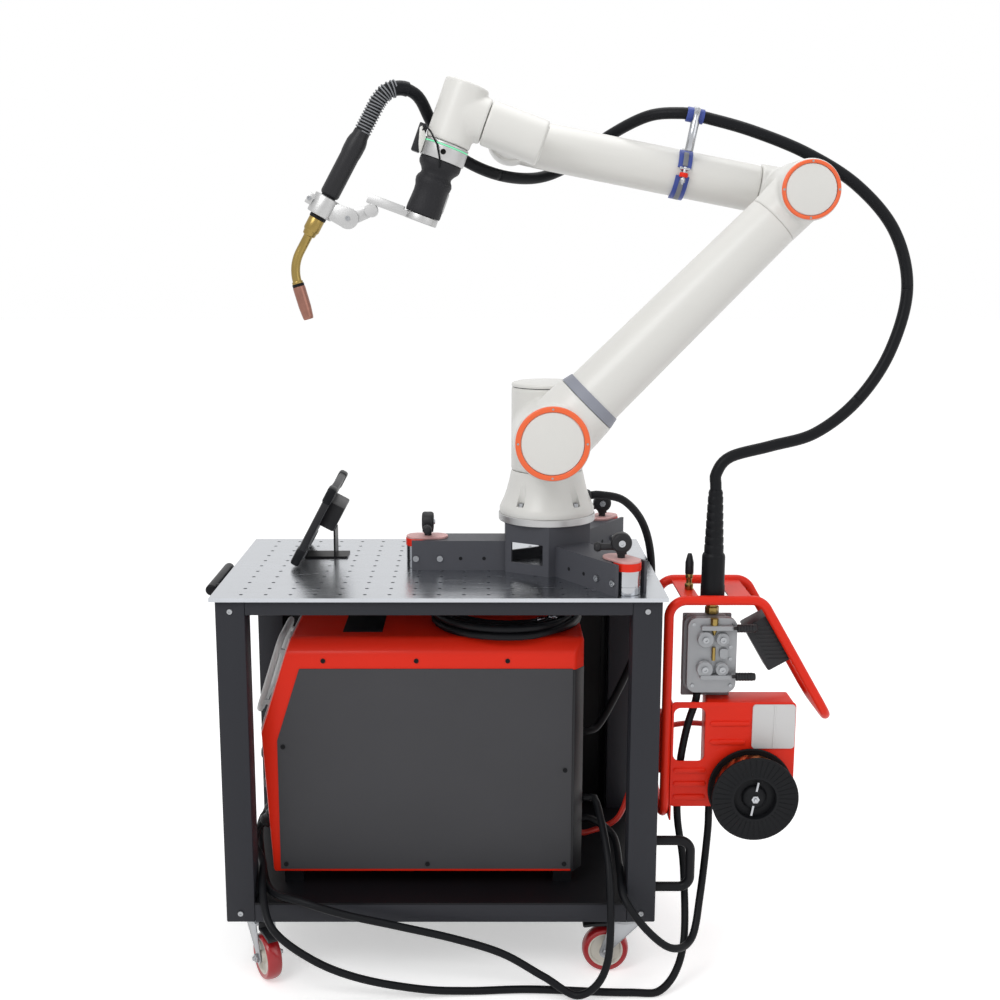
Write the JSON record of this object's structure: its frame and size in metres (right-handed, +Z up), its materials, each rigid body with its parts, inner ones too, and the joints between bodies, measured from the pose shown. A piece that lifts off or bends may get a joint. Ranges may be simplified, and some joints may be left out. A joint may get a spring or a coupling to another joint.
{
  "type": "collaborative welding robot cell on a wheeled cart",
  "caption": "Jointed welding robot arm with torch and hose on a magnet tripod, on a wheeled steel table cart with power source, wire feeder, tablet and cables.",
  "frame": {"origin": "on the floor, under the middle of the cell's box without its free cables", "axes": "+X along the cart towards the wire feeder, +Y towards the cart's back, +Z up"},
  "size_m": [1.468, 0.6299, 1.8609],
  "materials": {
    "table_steel": "ground, oiled",
    "charcoal": "satin powder coat",
    "black_metal": "satin",
    "zinc": "zinc plated",
    "magnet": "ground, with a red collar and a black lever",
    "black_plastic": "moulded",
    "grey_plastic": "moulded",
    "red_paint": "gloss powder coat",
    "grey_panel": "textured paint",
    "black_rubber": "matte",
    "red_rubber": "matte",
    "cast_drive": "cast",
    "roller_steel": "ground",
    "brass": "turned",
    "robot_white": "light grey paint",
    "bare_aluminium": "anodised",
    "robot_slate": "blue-grey paint",
    "robot_orange": "moulded cover with an orange ring",
    "bracket_steel": "bent sheet",
    "copper": "spatter-dulled copper",
    "tread": "red tread on a pale hub"
  },
  "bodies": {
    "cart": {"table_top": "table_steel", "corner_posts": "charcoal", "frame_rails": "charcoal", "bottom_shelf": "charcoal", "castor_plates": "zinc", "push_handle": "black_metal", "cable_hanger": "black_metal", "tripod": "charcoal", "magnet_feet": "magnet", "tablet": "black_plastic", "tablet_stand": "grey_plastic", "source_case": "red_paint", "source_side_panels": "grey_panel", "source_front": "grey_plastic", "source_feet": "black_rubber", "cable_coil": "black_rubber", "feeder_frame": "red_paint", "feeder_roof": "red_paint", "feeder_housing": "red_paint", "feeder_cover": "black_plastic", "feeder_plate": "grey_plastic", "drive_unit": "cast_drive", "drive_rollers": "roller_steel", "torch_socket": "brass", "torch_boot": "black_rubber", "robot_foot": "robot_white", "foot_ring": "bare_aluminium", "torch_hose_a": "black_rubber", "power_cable": "black_rubber", "earth_cable": "black_rubber", "robot_cable": "black_rubber", "control_cable": "black_rubber", "gas_hose": "red_rubber"},
    "turret": {"turret": "robot_white"},
    "upper_arm": {"shoulder_housing": "robot_white", "arm_band": "robot_slate", "upper_arm_tube": "robot_white", "elbow_housing": "robot_white", "joint_covers": "robot_orange"},
    "forearm": {"forearm_elbow": "robot_white", "forearm_tube": "robot_white", "hose_bracket": "bracket_steel", "torch_hose_b": "black_rubber"},
    "wrist_one": {"wrist_one": "robot_white"},
    "wrist_two": {"wrist_two": "robot_white"},
    "tool": {"tool_flange": "bare_aluminium", "tool_grip": "black_plastic", "torch_bracket": "bare_aluminium", "torch_handle": "black_plastic", "torch_neck": "brass", "torch_nozzle": "copper"},
    "spool": {"wire_spool": "black_plastic"},
    "castor_1": {"castor_fork_1": "zinc"},
    "wheel_1": {"castor_wheel_1": "tread"},
    "castor_2": {"castor_fork_2": "zinc"},
    "wheel_2": {"castor_wheel_2": "tread"},
    "castor_3": {"castor_fork_3": "zinc"},
    "wheel_3": {"castor_wheel_3": "tread"},
    "castor_4": {"castor_fork_4": "zinc"},
    "wheel_4": {"castor_wheel_4": "tread"}
  },
  "joints": [
    {"name": "base_turn", "type": "hinge", "parent": "cart", "child": "turret", "pos_m": [0.069, 0, 1.061], "axis": [0, 0, 1], "range_deg": [-90, 90], "deforming": ["torch_hose_a"]},
    {"name": "shoulder", "type": "hinge", "parent": "turret", "child": "upper_arm", "pos_m": [0.069, -0.084, 1.148], "axis": [0, 1, 0], "range_deg": [-45, 40], "deforming": ["torch_hose_a"]},
    {"name": "elbow", "type": "hinge", "parent": "upper_arm", "child": "forearm", "pos_m": [0.56397, -0.084, 1.64297], "axis": [0, -1, 0], "range_deg": [-110, 20], "deforming": ["torch_hose_a"]},
    {"name": "wrist_lift", "type": "hinge", "parent": "forearm", "child": "wrist_one", "pos_m": [-0.01126, -0.076, 1.75479], "axis": [0, 1, 0], "range_deg": [-40, 100], "deforming": ["torch_hose_b"]},
    {"name": "wrist_roll", "type": "hinge", "parent": "wrist_one", "child": "wrist_two", "pos_m": [-0.01126, -0.159, 1.75479], "axis": [-0.9397, 0, 0.342], "range_deg": [-90, 90], "deforming": ["torch_hose_b"]},
    {"name": "tool_turn", "type": "hinge", "parent": "wrist_two", "child": "tool", "pos_m": [-0.11838, -0.159, 1.79378], "axis": [-0.342, 0, -0.9397], "range_deg": [-120, 90], "deforming": ["torch_hose_b"]},
    {"name": "spool_turn", "type": "hinge", "parent": "cart", "child": "spool", "pos_m": [0.494, -0.23, 0.41], "axis": [0, 1, 0], "continuous": true},
    {"name": "swivel_1", "type": "hinge", "parent": "cart", "child": "castor_1", "pos_m": [-0.549, -0.21, 0.12], "axis": [0, 0, 1], "continuous": true},
    {"name": "roll_1", "type": "hinge", "parent": "castor_1", "child": "wheel_1", "pos_m": [-0.53, -0.24291, 0.05], "axis": [0.866, 0.5, 0], "continuous": true},
    {"name": "swivel_2", "type": "hinge", "parent": "cart", "child": "castor_2", "pos_m": [0.231, -0.21, 0.12], "axis": [0, 0, 1], "continuous": true},
    {"name": "roll_2", "type": "hinge", "parent": "castor_2", "child": "wheel_2", "pos_m": [0.193, -0.21, 0.05], "axis": [0, -1, 0], "continuous": true},
    {"name": "swivel_3", "type": "hinge", "parent": "cart", "child": "castor_3", "pos_m": [-0.549, 0.21, 0.12], "axis": [0, 0, 1], "continuous": true},
    {"name": "roll_3", "type": "hinge", "parent": "castor_3", "child": "wheel_3", "pos_m": [-0.58191, 0.229, 0.05], "axis": [-0.5, -0.866, 0], "continuous": true},
    {"name": "swivel_4", "type": "hinge", "parent": "cart", "child": "castor_4", "pos_m": [0.231, 0.21, 0.12], "axis": [0, 0, 1], "continuous": true},
    {"name": "roll_4", "type": "hinge", "parent": "castor_4", "child": "wheel_4", "pos_m": [0.26391, 0.229, 0.05], "axis": [-0.5, 0.866, 0], "continuous": true}
  ]
}
